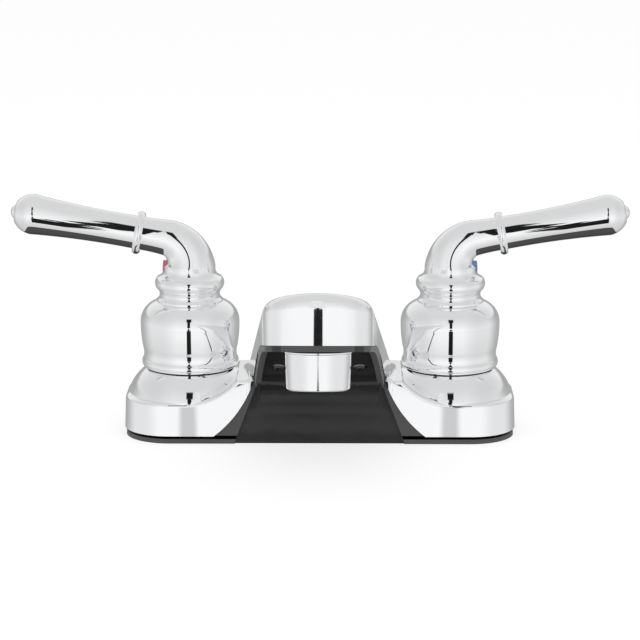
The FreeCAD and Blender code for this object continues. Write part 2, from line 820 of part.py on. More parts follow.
def stem():
    """Hot side: the driver foot on the moving disc and the long shaft up into the handle."""
    foot = moving_disc_bottom() + disc_thickness
    foot_top = cartridge_cup_height - disc_gap
    groove = ring_height()
    body = revolved([
        (0, foot), (disc_radius - 0.1, foot), (disc_radius - 0.1, foot_top),
        (stem_radius, foot_top), (stem_radius, groove - seal_section),
        (stem_radius - 2 * seal_section, groove - seal_section),
        (stem_radius - 2 * seal_section, groove + seal_section),
        (stem_radius, groove + seal_section), (stem_radius, cartridge_neck_height + 0.5),
        (stem_grip_radius, cartridge_neck_height + 1.0), (stem_grip_radius, stem_top - 0.8),
        (stem_grip_radius - 0.8, stem_top), (0, stem_top)])
    return body.translated(V(-valve_x, 0, 0))


def ring_height():
    return (cartridge_cup_height + cartridge_neck_height) / 2


def stem_ring():
    return o_ring(stem_radius - seal_section, seal_section, V(-valve_x, 0, ring_height()), UP)


def hexagon(flats, bottom, top):
    radius = flats / math.sqrt(3)
    corners = [V(radius * math.cos(math.radians(60 * k)), radius * math.sin(math.radians(60 * k)), bottom)
               for k in range(6)]
    return prism(polygon(corners), V(0, 0, top - bottom))


def bonnet_nut():
    """Flanged hex cap that clamps the shell and the cartridge to the barrel."""
    bottom = platform_height
    hex_body = hexagon(nut_flats, bottom, nut_top).common(Part.makeCone(
        nut_flats * 0.6 + nut_top - bottom, nut_flats * 0.54, nut_top - bottom, V(0, 0, bottom)))
    body = hex_body.fuse(Part.makeCylinder(nut_flange_radius, nut_flange_thickness, V(0, 0, bottom)))
    thread = Part.makeCylinder(barrel_nose_radius + thread_fit, nut_top - nut_cap - bottom, V(0, 0, bottom))
    neck = Part.makeCylinder(cartridge_neck_radius + 0.2, nut_top, V(0, 0, bottom))
    return body.cut(thread).cut(neck).translated(V(-valve_x, 0, 0))


def mounting_washer():
    top = -deck_thickness
    ring = tube(mount_washer_radius, shank_radius + 0.5, top - mount_washer_thickness, top)
    return ring.translated(V(-valve_x, 0, 0))


def mounting_nut():
    """Moulded wing nut that draws the faucet down on the deck from below."""
    top = -deck_thickness - mount_washer_thickness
    hub_radius = shank_radius + 3.2
    hub = Part.makeCone(mount_nut_radius, hub_radius, mount_nut_height, V(0, 0, top), V(0, 0, -1))
    wings = Part.makeBox(wing_span, wing_thickness, mount_nut_height - 2.0,
                         V(-wing_span / 2, -wing_thickness / 2, top - mount_nut_height))
    ends = []
    for side in (-1, 1):
        ends.append(Part.makeCylinder(wing_thickness * 0.8, mount_nut_height - 2.0,
                                      V(side * wing_span / 2, 0, top - mount_nut_height)))
    body = hub.fuse([wings] + ends)
    body = body.cut(Part.makeCylinder(shank_radius + thread_fit, 3 * mount_nut_height,
                                      V(0, 0, top - 2 * mount_nut_height)))
    return body.translated(V(-valve_x, 0, 0))


def bell_outline():
    """The handle's right-hand outline from the foot of the bell to the throat, as edges."""
    def at(r, rise_over_foot):
        return V(r, 0, handle_bottom + rise_over_foot)

    foot_end = at(bell_foot_radius - 0.6, foot_top)
    waist_end = at(bell_waist_radius + 0.4, waist_top)
    side_end = at(bell_radius, side_top)
    shoulder_end = at(neck_radius + 1.2, shoulder_top)
    bead_start = at(neck_radius + 1.2, shoulder_top + 0.6)
    bead_end = at(neck_radius + 0.5, bead_top)
    neck_end = at(neck_radius + 0.4, neck_top)
    ring_start = at(ring_radius - 1.0, ring_bottom)
    ring_end = at(ring_radius - 0.9, ring_top)
    collar_end = at(throat_radius, collar_top)
    return [
        arc(at(bell_foot_radius - 0.7, 0), at(bell_foot_radius, foot_top / 2 - 0.1), foot_end),
        arc(foot_end, at(bell_waist_radius, (foot_top + waist_top) / 2 - 0.2), waist_end),
        arc(waist_end, at(bell_radius - 0.2, (waist_top + side_top) / 2 - 0.1), side_end),
        arc(side_end, at(bell_radius - 2.0, dome_height), shoulder_end),
        line(shoulder_end, bead_start),
        line(bead_start, bead_end),
        arc(bead_end, at(neck_radius, (bead_top + neck_top) / 2), neck_end),
        line(neck_end, ring_start),
        arc(ring_start, at(ring_radius, (ring_bottom + ring_top) / 2), ring_end),
        arc(ring_end, at(throat_radius + 0.7, (ring_top + collar_top) / 2 - 0.2), collar_end),
        line(collar_end, V(throat_radius, 0, throat_height))]


def turned(edges, bottom_z, top_z):
    """Close an outline to the Z axis and turn it."""
    start = edges[0].valueAt(edges[0].FirstParameter)
    end = edges[-1].valueAt(edges[-1].LastParameter)
    loop = edges + [line(end, V(0, 0, top_z)), line(V(0, 0, top_z), V(0, 0, bottom_z)),
                    line(V(0, 0, bottom_z), start)]
    return Part.Face(Part.Wire(loop)).revolve(V(0, 0, 0), UP, 360)


def lever_solid():
    """The lever from just inside its ring to the knob's nipple, along +Z from the ring's centre."""
    def at(r, z):
        return V(r, 0, z)

    half_ring = lever_ring_width / 2
    step = knob_radius - 3.9
    edges = [
        line(at(0, -half_ring), at(lever_ring_radius - 0.7, -half_ring)),
        arc(at(lever_ring_radius - 0.7, -half_ring), at(lever_ring_radius, 0),
            at(lever_ring_radius - 0.7, half_ring)),
        line(at(lever_ring_radius - 0.7, half_ring), at(lever_radius, half_ring)),
        arc(at(lever_radius, half_ring), at(lever_radius + 0.1, knob_place * 0.5),
            at(knob_radius, knob_place)),
        arc(at(knob_radius, knob_place), at(knob_radius - 1.2, knob_place + 4.1),
            at(step, knob_place + 6.9)),
        line(at(step, knob_place + 6.9), at(step - 1.2, knob_place + 7.1)),
        arc(at(step - 1.2, knob_place + 7.1), at(1.8, lever_length - 0.5), at(nipple_flat, lever_length)),
        line(at(nipple_flat, lever_length), at(0, lever_length))]
    loop = edges + [line(at(0, lever_length), at(0, -half_ring))]
    return Part.Face(Part.Wire(loop)).revolve(V(0, 0, 0), UP, 360)


def lever_frame():
    """The lever's direction and the centre of its ring, seen from the hot valve's axis."""
    lift = math.radians(lever_rise_deg)
    way = V(-math.cos(lift), 0, math.sin(lift))
    turn = math.pi / 2 - lift
    bend_end = V(-bend_radius * (1 - math.cos(turn)), 0, throat_height + bend_radius * math.sin(turn))
    return way, bend_end + way * lever_ring_place, turn


def bend_solid():
    """The neck's sweep from the throat to the lever ring, thinning on the way."""
    way, ring_centre, turn = lever_frame()
    bend_length = bend_radius * turn
    whole = bend_length + lever_ring_place
    stations = 9
    wires = []
    for k in range(stations):
        along = whole * k / (stations - 1)
        if along < bend_length:
            angle = along / bend_radius
            centre = V(-bend_radius * (1 - math.cos(angle)), 0,
                       throat_height + bend_radius * math.sin(angle))
            heading = V(-math.sin(angle), 0, math.cos(angle))
        else:
            centre = ring_centre - way * (whole - along)
            heading = way
        radius = lever_radius + (throat_radius - lever_radius) * (1 - along / whole) ** 2
        circle = Part.Circle(centre, heading, radius)
        wires.append(Part.Wire(circle.toShape()))
    return Part.makeLoft(wires, True, False)


def handle():
    """Hot side: bell, neck and lever cast as one piece, hollow below, bored for the stem."""
    bottom = handle_bottom
    body = turned(bell_outline(), bottom, throat_height)
    way, ring_centre, turn = lever_frame()
    lever = lever_solid()
    lever.rotate(V(0, 0, 0), V(0, 1, 0), -math.degrees(turn))
    lever.translate(ring_centre)
    body = body.fuse(bend_solid()).fuse(lever)
    hollow_radius = bell_waist_radius - bell_wall
    dome = 6.0
    hollow = revolved([
        (boss_radius, boss_bottom), (boss_radius, bell_ceiling + 2.0),
        (hollow_radius - dome, bell_ceiling + 2.0), (hollow_radius, bell_ceiling - dome + 2.0),
        (hollow_radius, bottom - 1.0), (0, bottom - 1.0), (0, boss_bottom)], {2: 1.6})
    body = body.cut(hollow)
    body = body.cut(Part.makeCylinder(stem_grip_radius + bore_fit, stem_top + 1.0 - bottom, V(0, 0, bottom)))
    body = body.cut(Part.makeCylinder(button_radius + bore_fit, throat_radius,
                                      V(-button_seat(), 0, button_height), V(-1, 0, 0)))
    body = body.cut(Part.makeCylinder(set_screw_radius + bore_fit, throat_radius,
                                      V(0, 0, button_height), V(-1, 0, 0)))
    return body.translated(V(-valve_x, 0, 0))


def button_seat():
    return throat_radius + button_proud - button_thickness


def index_button():
    """The coloured plug that covers the set screw, domed, on the outer side of the throat."""
    cap = Part.makeCylinder(button_radius, button_thickness)
    dome = Part.makeSphere(button_dome_radius, V(0, 0, button_thickness - button_dome_radius))
    button = cap.common(dome)
    button.rotate(V(0, 0, 0), V(0, 1, 0), -90)
    return button.translated(V(-valve_x - button_seat(), 0, button_height))


def set_screw():
    """Grub screw from the button's pocket to the stem, with a hex socket."""
    start = stem_grip_radius + bore_fit
    end = button_seat() - 0.3
    body = Part.makeCylinder(set_screw_radius, end - start)
    socket = hexagon(2 * hex_socket, end - start - 1.6, end - start)
    screw = body.cut(socket)
    screw.rotate(V(0, 0, 0), V(0, 1, 0), -90)
    return screw.translated(V(-valve_x - start, 0, button_height))


def mirrored(shape):
    return shape.mirror(V(0, 0, 0), V(1, 0, 0))


def save(name, shape):
    shape.exportStep("parts/" + name + ".step")
    print(name, len(shape.Solids), round(shape.Volume, 1), shape.isValid())


CENTRE_PIECES = {
    "spout_shell": spout_shell,
    "underbody": underbody,
    "shell_screws": shell_screws,
    "spout_waterway": spout_waterway,
    "aerator_housing": aerator_housing,
    "aerator_washer": aerator_washer,
    "aerator_insert": aerator_insert,
}

SIDE_PIECES = {
    "valve_body": valve_body,
    "feed_tube": feed_tube,
    "feed_seals": feed_seals,
    "cartridge_body": cartridge_body,
    "seat_seal": seat_seal,
    "fixed_disc": lambda: disc(fixed_disc_bottom(), 0),
    "bonnet_nut": bonnet_nut,
    "mounting_washer": mounting_washer,
    "mounting_nut": mounting_nut,
    "handle": handle,
    "index_button": index_button,
    "set_screw": set_screw,
    "stem": stem,
    "stem_ring": stem_ring,
    "moving_disc": lambda: disc(moving_disc_bottom(), math.pi / 2),
}


def build():
    os.makedirs("parts", exist_ok=True)
    for name, make in CENTRE_PIECES.items():
        save(name, make())
    for name, make in SIDE_PIECES.items():
        shape = make()
        save("hot_" + name, shape)
        save("cold_" + name, mirrored(shape))


build()
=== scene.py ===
# %% [markdown]
# # A chrome bathroom faucet
# The real faucet is a thin chrome-plated shell over a black moulding, with two cast
# handles. Its construction comes in as a fixed frame of solids, in metres, with X to
# the right, -Y towards the user and +Z up. This lesson gives each piece its finish,
# rebuilds the chrome handles and the aerator sleeve as fine surfaces, because chrome
# shows every flat facet, smooths the seams of the other solids, and lights them in a bright tent.

# %% Open the frame
import json
import math

import bmesh
import bpy
import numpy as np
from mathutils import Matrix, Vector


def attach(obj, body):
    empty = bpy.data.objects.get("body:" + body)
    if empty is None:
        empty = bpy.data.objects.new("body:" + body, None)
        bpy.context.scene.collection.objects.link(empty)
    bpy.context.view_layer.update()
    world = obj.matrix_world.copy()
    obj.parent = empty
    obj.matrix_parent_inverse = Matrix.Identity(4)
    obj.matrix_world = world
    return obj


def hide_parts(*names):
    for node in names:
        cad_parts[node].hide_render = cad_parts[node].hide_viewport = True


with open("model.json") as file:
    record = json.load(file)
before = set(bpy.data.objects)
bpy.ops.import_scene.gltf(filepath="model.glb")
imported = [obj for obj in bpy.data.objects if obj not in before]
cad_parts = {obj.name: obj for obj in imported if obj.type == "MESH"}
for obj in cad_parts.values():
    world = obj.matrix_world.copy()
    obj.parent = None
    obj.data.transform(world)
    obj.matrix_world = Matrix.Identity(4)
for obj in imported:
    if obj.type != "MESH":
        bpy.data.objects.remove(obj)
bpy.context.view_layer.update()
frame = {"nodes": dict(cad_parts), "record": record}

nodes = frame["nodes"]
print("pieces in the frame:", len(nodes))

# %% [markdown]
# ## Sizes
# The surfaces below follow the same named sizes as the solids, so that each new
# piece sits exactly where the solid is. Lengths are in millimetres here, as on a
# drawing, and are turned into metres when a mesh is made.

# %% Sizes in millimetres
MM = 0.001
weld_distance = 2e-6
valve_x = 50.8

bell_foot_height = 25.8
bell_foot_radius = 18.9
bell_waist_radius = 18.1
bell_radius = 19.3
bead_top = 3.4
waist_end = 7.8
belly_place = 16.8
shoulder_end = 25.6
ring_foot = 30.4
ring_top = 35.0
throat_start = 38.0
hollow_radius = 16.5
hollow_shoulder = 16.2
hollow_top = 22.2
hollow_top_radius = 10.4
boss_foot = 11.2
boss_radius = 7.6
neck_radius = 11.7
ring_radius = 13.5
throat_radius = 10.1
throat_height = 65.4
bend_radius = 11.0
lever_rise = math.radians(10.0)
lever_ring_place = 10.6
lever_ring_radius = 8.4
lever_ring_width = 2.9
lever_radius = 6.45
lever_length = 50.2
# The solid's knob has 7.9: the finer mesh keeps a hair inside its box.
knob_radius = 7.88
knob_place = 41.5
nipple_flat = 0.5

spout_reach = 95.0
outlet_back = 19.6
spout_root_height = 32.7
spout_rise = math.radians(24.4)
spout_tip_depth = 20.6
tip_edge_height = spout_root_height + spout_reach * math.tan(spout_rise) - spout_tip_depth
aerator_drop = 5.8
aerator_place = np.array([0.0, outlet_back - spout_reach, tip_edge_height - aerator_drop])
aerator_tilt = math.radians(8.5)
aerator_top_radius = 12.45
aerator_bottom_radius = 11.55
aerator_height = 14.6
outlet_radius = 9.6
thread_radius = 10.45
thread_depth = 8.6

# %% [markdown]
# ## Curves and meshes
# A turned or cast piece is described by its outline. Short arcs through three
# points make up the outline, just as a pattern maker would draw it. The outline is
# then carried round an axis or along a path, as whole arrays: numpy works out every
# point at once, and the mesh gets them in one call. Doubled points at the poles and
# the seam are merged, so that each surface is closed.

# %% Outline and mesh helpers
def bow(start, middle, end, count=14):
    """Points on the circle through three points of the (u, v) plane.

    The centre c solves |c - start| = |c - middle| = |c - end|. The angle runs evenly
    from start to end by way of middle.
    """
    a, b, c = (np.array(p, float) for p in (start, middle, end))
    sides = 2.0 * np.array([b - a, c - a])
    centre = np.linalg.solve(sides, np.array([b @ b - a @ a, c @ c - a @ a]))
    angles = [math.atan2(*(p - centre)[::-1]) for p in (a, b, c)]
    turn_mid = (angles[1] - angles[0]) % (2 * math.pi)
    turn_end = (angles[2] - angles[0]) % (2 * math.pi)
    if turn_mid > turn_end:
        turn_end -= 2 * math.pi
    steps = angles[0] + turn_end * np.linspace(0.0, 1.0, count)
    radius = np.linalg.norm(a - centre)
    return centre + radius * np.stack([np.cos(steps), np.sin(steps)], axis=1)


def joined(*runs):
    """One outline out of several runs of points, without the doubled ends."""
    points = np.concatenate([np.atleast_2d(np.array(run, float)) for run in runs])
    gap = np.linalg.norm(np.diff(points, axis=0), axis=1)
    return points[np.concatenate([[True], gap > 1e-6])]


def grid_faces(rows, columns, around=True):
    """Quads of a grid with this many rows and columns, wrapping round if asked."""
    last = columns if around else columns - 1
    row, column = np.meshgrid(np.arange(rows - 1), np.arange(last), indexing="ij")
    here = row * columns + column
    right = row * columns + (column + 1) % columns
    return np.stack([here, right, right + columns, here + columns], axis=-1).reshape(-1, 4)


def surface(name, grid, around=True, crease_deg=32.0):
    """A closed, smooth-shaded mesh object from a (rows, columns, 3) grid in millimetres."""
    rows, columns = grid.shape[:2]
    mesh = bpy.data.meshes.new(name)
    mesh.from_pydata((grid.reshape(-1, 3) * MM).tolist(), [], grid_faces(rows, columns, around).tolist())
    shell = bmesh.new()
    shell.from_mesh(mesh)
    bmesh.ops.remove_doubles(shell, verts=shell.verts, dist=weld_distance)
    bmesh.ops.dissolve_degenerate(shell, edges=shell.edges, dist=1e-7)
    bmesh.ops.recalc_face_normals(shell, faces=shell.faces)
    open_edges = sum(1 for edge in shell.edges if not edge.is_manifold)
    shell.to_mesh(mesh)
    shell.free()
    mesh.shade_smooth()
    mesh.set_sharp_from_angle(angle=math.radians(crease_deg))
    piece = bpy.data.objects.new(name, mesh)
    bpy.context.scene.collection.objects.link(piece)
    print(name, "faces:", len(mesh.polygons), "open edges:", open_edges)
    return piece


# %% [markdown]
# ## The handles
# Each handle is one casting: a hollow bell, a neck with a rounded ring, a bend and a
# tapering lever that swells to a knob. It could be turned in parts and joined, but
# joins show in chrome. Here the whole handle is one outline of radii carried along
# one path: straight up the valve's axis, round the bend and out along the lever. The
# first part of the outline runs down inside the bell, so that the bell is hollow.

# %% Path and outline of the handle
bend_turn = math.pi / 2 - lever_rise
straight_run = throat_height - bell_foot_height
bend_run = bend_radius * bend_turn
ring_run = straight_run + bend_run + lever_ring_place


def handle_path(distance):
    """Centre and side direction of the path at each distance from the bell's foot.

    Up to the throat the path is a line. Then it is an arc, C = (R cos t - R, R sin t),
    and past the bend a line again, at the lever's rise.
    """
    s = np.asarray(distance, float)
    turn = np.clip((s - straight_run) / bend_radius, 0.0, bend_turn)
    past = np.maximum(s - straight_run - bend_run, 0.0)
    x = bend_radius * (np.cos(turn) - 1.0) - past * np.sin(turn)
    z = bell_foot_height + np.minimum(s, straight_run) + bend_radius * np.sin(turn) + past * np.cos(turn)
    centre = np.stack([x, np.zeros_like(x), z], axis=1)
    side = np.stack([np.cos(turn), np.zeros_like(x), np.sin(turn)], axis=1)
    return centre, side


def carried(outline, columns):
    """Rings of radius r square to the path: P(s, a) = C(s) + r (cos a · side + sin a · Y)."""
    centre, side = handle_path(outline[:, 0])
    angle = np.linspace(0.0, 2 * math.pi, columns, endpoint=False)
    across = side[:, None, :] * np.cos(angle)[None, :, None]
    across = across + np.array([0.0, 1.0, 0.0]) * np.sin(angle)[None, :, None]
    return centre[:, None, :] + outline[:, 1, None, None] * across


def thinning(start, end, count):
    """The neck's radius falls from the throat to the lever as (1 - t) squared."""
    t = np.linspace(0.0, 1.0, count)
    radius = lever_radius + (throat_radius - lever_radius) * (1.0 - t) ** 2
    return np.stack([start + (end - start) * t, radius], axis=1)


inside = joined(
    [(boss_foot, 0.0), (boss_foot, boss_radius), (hollow_top, boss_radius), (hollow_top, hollow_top_radius)],
    bow((hollow_top, hollow_top_radius), (20.6, 14.8), (hollow_shoulder, hollow_radius)),
    [(hollow_shoulder, hollow_radius), (0.0, hollow_radius)])
bell = joined(
    [(0.0, hollow_radius), (0.0, bell_foot_radius - 0.7)],
    bow((0.0, bell_foot_radius - 0.7), (1.6, bell_foot_radius), (bead_top, bell_foot_radius - 0.6)),
    bow((bead_top, bell_foot_radius - 0.6), (5.4, bell_waist_radius), (waist_end, bell_waist_radius + 0.4)),
    bow((waist_end, bell_waist_radius + 0.4), (12.2, bell_radius - 0.2), (belly_place, bell_radius)),
    bow((belly_place, bell_radius), (22.9, bell_radius - 2.0), (shoulder_end, neck_radius + 1.2), 24),
    [(26.2, neck_radius + 1.2), (27.0, neck_radius + 0.5)],
    bow((27.0, neck_radius + 0.5), (28.4, neck_radius), (29.8, neck_radius + 0.4)),
    [(ring_foot, ring_radius - 1.0)],
    bow((ring_foot, ring_radius - 1.0), (32.7, ring_radius), (ring_top, ring_radius - 0.9)),
    bow((ring_top, ring_radius - 0.9), (36.3, throat_radius + 0.7), (throat_start, throat_radius)))
half_ring = lever_ring_width / 2
knob_step = knob_radius - 3.9
lever = joined(
    bow((-half_ring, lever_ring_radius - 0.7), (0.0, lever_ring_radius),
        (half_ring, lever_ring_radius - 0.7), 16),
    [(half_ring, lever_radius)],
    bow((half_ring, lever_radius), (knob_place * 0.5, lever_radius + 0.1), (knob_place, knob_radius), 40),
    bow((knob_place, knob_radius), (knob_place + 4.1, knob_radius - 1.2), (knob_place + 6.9, knob_step), 16),
    [(knob_place + 7.1, knob_step - 1.2)],
    bow((knob_place + 7.1, knob_step - 1.2), (lever_length - 0.5, 1.8), (lever_length, nipple_flat), 10),
    [(lever_length, 0.0)])
neck = thinning(straight_run, ring_run - half_ring, 44)
handle_outline = joined(inside, bell, neck, lever + np.array([ring_run, 0.0]))
print("points in the handle's outline:", len(handle_outline))


# %% Make both handles
def make_handle(hand, side):
    """The carried outline, mirrored for the cold side and moved onto its valve."""
    grid = carried(handle_outline, columns=112)
    grid[..., 0] = grid[..., 0] * -side
    grid[..., 0] += side * valve_x
    piece = surface(hand + "_handle_chrome", grid)
    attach(piece, hand + "_handle")
    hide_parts(hand + "_handle")
    return piece


hot_handle = make_handle("hot", -1)
cold_handle = make_handle("cold", 1)

# %% [markdown]
# ## The aerator sleeve
# A tapered chrome sleeve hangs under the spout's tip, leaning with it. It is a turned
# piece: one outline revolved round its own axis, then tilted into place.

# %% Turn the sleeve
def revolved(outline, columns=128):
    """P(a) = (r cos a, r sin a, z) for each (r, z) of the outline."""
    angle = np.linspace(0.0, 2 * math.pi, columns, endpoint=False)
    r, z = outline[:, 0, None], outline[:, 1, None]
    return np.stack([r * np.cos(angle), r * np.sin(angle), z + 0.0 * angle], axis=-1)


def hung(points):
    """Tilts the outlet's own axis forward and moves it to its seat under the spout."""
    cos, sin = math.cos(aerator_tilt), math.sin(aerator_tilt)
    x, y, z = points[..., 0], points[..., 1], points[..., 2]
    return np.stack([x, y * cos + z * sin, z * cos - y * sin], axis=-1) + aerator_place


lip = 0.8
bead = 0.25
taper = (aerator_top_radius - aerator_bottom_radius) / aerator_height
sleeve_outline = joined(
    [(thread_radius, 0.0), (aerator_top_radius - lip / 2, 0.0)],
    bow((aerator_top_radius - lip / 2, 0.0), (aerator_top_radius - 0.1, -0.3), (aerator_top_radius, -lip), 8),
    bow((aerator_top_radius, -lip), (aerator_top_radius - 0.06, -lip - 0.3),
        (aerator_top_radius - bead, -lip - 0.5), 6),
    [(aerator_bottom_radius + taper * lip, -aerator_height + lip)],
    bow((aerator_bottom_radius + taper * lip, -aerator_height + lip),
        (aerator_bottom_radius - 0.1, -aerator_height + 0.3),
        (aerator_bottom_radius - lip / 2, -aerator_height), 8),
    [(outlet_radius, -aerator_height), (outlet_radius, -thread_depth),
     (thread_radius, -thread_depth), (thread_radius, 0.0)])
sleeve = surface("aerator_sleeve_chrome", hung(revolved(sleeve_outline)))
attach(sleeve, "base")
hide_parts("aerator_housing")

# %% [markdown]
# ## Smooth seams on the solids
# A solid from the frame arrives as loose triangles, so light breaks along the seams
# between its faces. Its mesh is left alone, and a short chain of geometry nodes
# merges the doubled points and keeps only the real edges sharp. A second modifier
# lets the large faces lead the normals, so that the broad walls of the shell mirror
# evenly right up to their small fillets.

# %% Seam smoother
def seam_smoother(angle_deg):
    """Geometry nodes: merge by distance, shade smooth, sharp where faces meet above an angle."""
    tree = bpy.data.node_groups.new("seam smoother", "GeometryNodeTree")
    tree.interface.new_socket("Geometry", in_out="INPUT", socket_type="NodeSocketGeometry")
    tree.interface.new_socket("Geometry", in_out="OUTPUT", socket_type="NodeSocketGeometry")
    source = tree.nodes.new("NodeGroupInput")
    target = tree.nodes.new("NodeGroupOutput")
    merge = tree.nodes.new("GeometryNodeMergeByDistance")
    merge.inputs["Distance"].default_value = weld_distance
    smooth_faces = tree.nodes.new("GeometryNodeSetShadeSmooth")
    sharp_edges = tree.nodes.new("GeometryNodeSetShadeSmooth")
    sharp_edges.domain = "EDGE"
    sharp_edges.inputs["Shade Smooth"].default_value = False
    angle = tree.nodes.new("GeometryNodeInputMeshEdgeAngle")
    compare = tree.nodes.new("FunctionNodeCompare")
    compare.data_type = "FLOAT"
    compare.operation = "GREATER_THAN"
    compare.inputs["B"].default_value = math.radians(angle_deg)
    link = tree.links.new
    link(source.outputs[0], merge.inputs["Geometry"])
    link(merge.outputs["Geometry"], smooth_faces.inputs["Geometry"])
    link(smooth_faces.outputs["Geometry"], sharp_edges.inputs["Geometry"])
    link(angle.outputs["Unsigned Angle"], compare.inputs["A"])
    link(compare.outputs["Result"], sharp_edges.inputs["Selection"])
    link(sharp_edges.outputs["Geometry"], target.inputs[0])
    return tree


seam_angle_deg = 28.0
smoother = seam_smoother(seam_angle_deg)
for node in nodes.values():
    node.modifiers.new("smooth seams", "NODES").node_group = smoother
    level = node.modifiers.new("even normals", "WEIGHTED_NORMAL")
    level.mode = "FACE_AREA_WITH_ANGLE"
    level.keep_sharp = True

# %% [markdown]
# ## Surface effects shared by the finishes
# Bright chrome still has life: faint wiping marks change its roughness a little, and
# hair-fine scratches catch the light. Moulded plastic has a fine skin, and turned
# metal has rings from the tool. Each effect is one node group, placed in every
# material that needs it with values of its own.

# %% Node helpers
def new_group(name, inputs, outputs):
    tree = bpy.data.node_groups.new(name, "ShaderNodeTree")
    for socket, kind, value in inputs:
        made = tree.interface.new_socket(socket, in_out="INPUT", socket_type=kind)
        if value is not None:
            made.default_value = value
    for socket, kind in outputs:
        tree.interface.new_socket(socket, in_out="OUTPUT", socket_type=kind)
    return tree, tree.nodes.new("NodeGroupInput"), tree.nodes.new("NodeGroupOutput")


def add(tree, kind, settings=None, **values):
    """A node with its settings and the values of its inputs, by name or by place (i0, i1)."""
    node = tree.nodes.new(kind)
    for key, value in (settings or {}).items():
        setattr(node, key, value)
    for key, value in values.items():
        place = int(key[1:]) if key[0] == "i" and key[1:].isdigit() else key.replace("_", " ")
        if isinstance(value, bpy.types.NodeSocket):
            tree.links.new(value, node.inputs[place])
        else:
            node.inputs[place].default_value = value
    return node


def math_node(tree, operation, a, b=0.0, clamp=False):
    return add(tree, "ShaderNodeMath", {"operation": operation, "use_clamp": clamp}, i0=a, i1=b).outputs[0]


FLOAT, VECTOR, COLOUR = "NodeSocketFloat", "NodeSocketVector", "NodeSocketColor"

# %% Wiping marks
wiping, given, result = new_group(
    "wiping marks",
    [("Vector", VECTOR, None), ("Scale", FLOAT, 12.0), ("Low", FLOAT, 0.02), ("High", FLOAT, 0.06)],
    [("Roughness", FLOAT)])
cloud = add(wiping, "ShaderNodeTexNoise", Vector=given.outputs["Vector"], Scale=given.outputs["Scale"],
            Detail=5.0, Roughness=0.6, Distortion=0.8)
contrast = add(wiping, "ShaderNodeMapRange", Value=cloud.outputs["Fac"], From_Min=0.35, From_Max=0.7)
spread = add(wiping, "ShaderNodeMapRange", Value=contrast.outputs["Result"],
             To_Min=given.outputs["Low"], To_Max=given.outputs["High"])
wiping.links.new(spread.outputs["Result"], result.inputs["Roughness"])

# %% Hair scratches
scratches, given, result = new_group(
    "hair scratches",
    [("Vector", VECTOR, None), ("Scale", FLOAT, 60.0), ("Amount", FLOAT, 0.2)],
    [("Height", FLOAT)])
crossing = None
for turn_deg, stretch in ((18.0, 26.0), (-52.0, 34.0), (81.0, 22.0)):
    turned = add(scratches, "ShaderNodeMapping", Vector=given.outputs["Vector"],
                 Rotation=(math.radians(turn_deg), math.radians(turn_deg * 0.7), math.radians(turn_deg)),
                 Scale=(1.0, stretch, 1.0))
    noise = add(scratches, "ShaderNodeTexNoise", Vector=turned.outputs["Vector"],
                Scale=given.outputs["Scale"], Detail=2.0, Roughness=0.5)
    off_centre = math_node(scratches, "ABSOLUTE", math_node(scratches, "SUBTRACT", noise.outputs["Fac"], 0.5))
    line = add(scratches, "ShaderNodeMapRange", Value=off_centre, From_Min=0.0, From_Max=0.012,
               To_Min=1.0, To_Max=0.0)
    crossing = line.outputs["Result"] if crossing is None else math_node(
        scratches, "MAXIMUM", crossing, line.outputs["Result"])
amount = math_node(scratches, "MULTIPLY", crossing, given.outputs["Amount"])
scratches.links.new(amount, result.inputs["Height"])

# %% Moulded skin
skin, given, result = new_group(
    "moulded skin",
    [("Vector", VECTOR, None), ("Colour", COLOUR, (0.5, 0.5, 0.5, 1.0)), ("Grain", FLOAT, 900.0),
     ("Low", FLOAT, 0.2), ("High", FLOAT, 0.35)],
    [("Colour", COLOUR), ("Roughness", FLOAT), ("Height", FLOAT)])
grain = add(skin, "ShaderNodeTexNoise", Vector=given.outputs["Vector"], Scale=given.outputs["Grain"],
            Detail=3.0, Roughness=0.55)
flow = add(skin, "ShaderNodeTexNoise", Vector=given.outputs["Vector"], Scale=28.0, Detail=3.0,
           Roughness=0.5)
shade = add(skin, "ShaderNodeMapRange", Value=flow.outputs["Fac"], From_Min=0.3, From_Max=0.7,
            To_Min=0.90, To_Max=1.10)
tinted = add(skin, "ShaderNodeVectorMath", {"operation": "SCALE"}, i0=given.outputs["Colour"],
             Scale=shade.outputs["Result"])
rough = add(skin, "ShaderNodeMapRange", Value=flow.outputs["Fac"], From_Min=0.3, From_Max=0.7,
            To_Min=given.outputs["Low"], To_Max=given.outputs["High"])
skin.links.new(tinted.outputs["Vector"], result.inputs["Colour"])
skin.links.new(rough.outputs["Result"], result.inputs["Roughness"])
skin.links.new(grain.outputs["Fac"], result.inputs["Height"])

# %% Tool rings
rings, given, result = new_group(
    "tool rings",
    [("Vector", VECTOR, None), ("Pitch", FLOAT, 9000.0), ("Low", FLOAT, 0.2), ("High", FLOAT, 0.34)],
    [("Roughness", FLOAT), ("Height", FLOAT)])
split = add(rings, "ShaderNodeSeparateXYZ", Vector=given.outputs["Vector"])
wobble = add(rings, "ShaderNodeTexNoise", Vector=given.outputs["Vector"], Scale=400.0, Detail=2.0)
along = math_node(rings, "MULTIPLY", split.outputs["Z"], given.outputs["Pitch"])
waves = math_node(rings, "SINE", math_node(rings, "ADD", along, wobble.outputs["Fac"]))
rough = add(rings, "ShaderNodeMapRange", Value=wobble.outputs["Fac"], From_Min=0.3, From_Max=0.7,
            To_Min=given.outputs["Low"], To_Max=given.outputs["High"])
rings.links.new(rough.outputs["Result"], result.inputs["Roughness"])
rings.links.new(waves, result.inputs["Height"])

